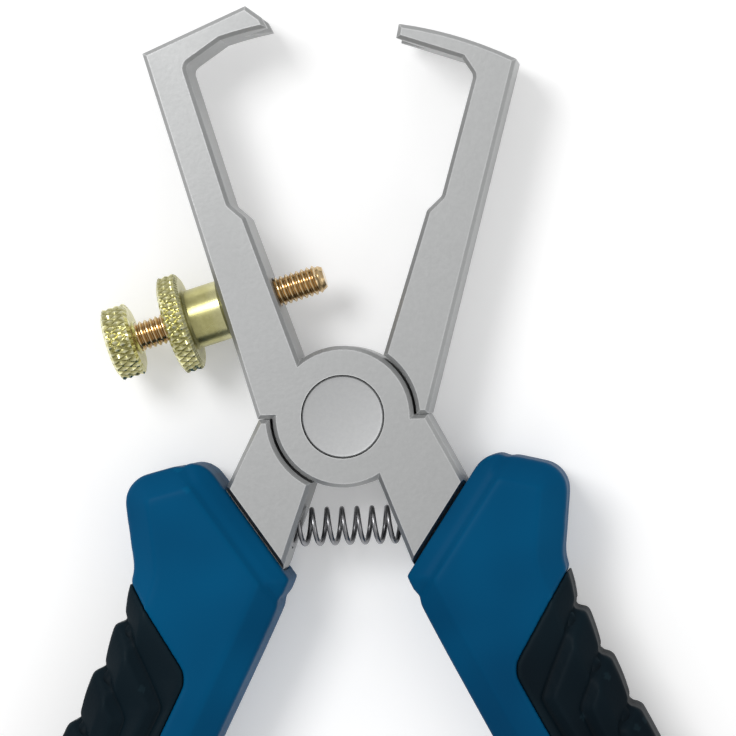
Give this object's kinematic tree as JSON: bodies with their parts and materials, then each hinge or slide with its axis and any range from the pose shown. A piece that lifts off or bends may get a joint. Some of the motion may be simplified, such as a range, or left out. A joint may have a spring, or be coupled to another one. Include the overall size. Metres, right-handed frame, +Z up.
{
  "type": "wire stripper",
  "caption": "End wire stripper with notched hook blades, riveted lap joint, opening spring, adjusting screw with lock nut and two-material handles.",
  "frame": {"origin": "centre of the tool's outline in the open pose, on the plane that its handles lie on", "axes": "+Y towards the jaws, +X towards the lower-hook jaw, +Z up out of the face, along the pivot rivet"},
  "size_m": [0.0962, 0.1522, 0.0144],
  "materials": {
    "steel": "satin ground and blasted steel",
    "rivet_steel": "satin, face ground flush",
    "spring_steel": "drawn wire",
    "screw_brass": "bright",
    "knurled_brass": "knurled",
    "blue_plastic": "satin moulded",
    "black_soft_grip": "matt moulded"
  },
  "bodies": {
    "upper_hook_half": {"left_jaw_half": "steel", "pivot_rivet": "rivet_steel", "opening_spring": "spring_steel", "right_handle_sleeve": "blue_plastic", "right_grip_insert": "black_soft_grip"},
    "lower_hook_half": {"right_jaw_half": "steel", "left_handle_sleeve": "blue_plastic", "left_grip_insert": "black_soft_grip"},
    "stud": {"adjusting_stud": "screw_brass"},
    "knob": {"adjusting_knob": "knurled_brass"},
    "nut": {"lock_nut": "knurled_brass"}
  },
  "joints": [
    {"name": "jaw_pivot", "type": "hinge", "parent": "upper_hook_half", "child": "lower_hook_half", "pos_m": [0, 0.02421, 0.0072], "axis": [0, 0, 1], "range_deg": [0, 25], "stiffness_Nm_per_rad": 0.4, "springref_deg": -20.05, "deforming": ["opening_spring"]},
    {"name": "stud_feed", "type": "slide", "parent": "upper_hook_half", "child": "stud", "axis": [0.9626, 0.271, 0], "range_m": [-0.006, 0.002]},
    {"name": "knob_turn", "type": "hinge", "parent": "stud", "child": "knob", "pos_m": [-0.02637, 0.03508, 0.0072], "axis": [0.9626, 0.271, 0], "range_deg": [-3090, 1040]},
    {"name": "lock_nut_travel", "type": "slide", "parent": "upper_hook_half", "child": "nut", "axis": [-0.9626, -0.271, 0], "range_m": [0, 0.0024]}
  ],
  "couplings": [
    {"joint": "knob_turn", "follows": "stud_feed", "rad_per_m": 8976}
  ]
}
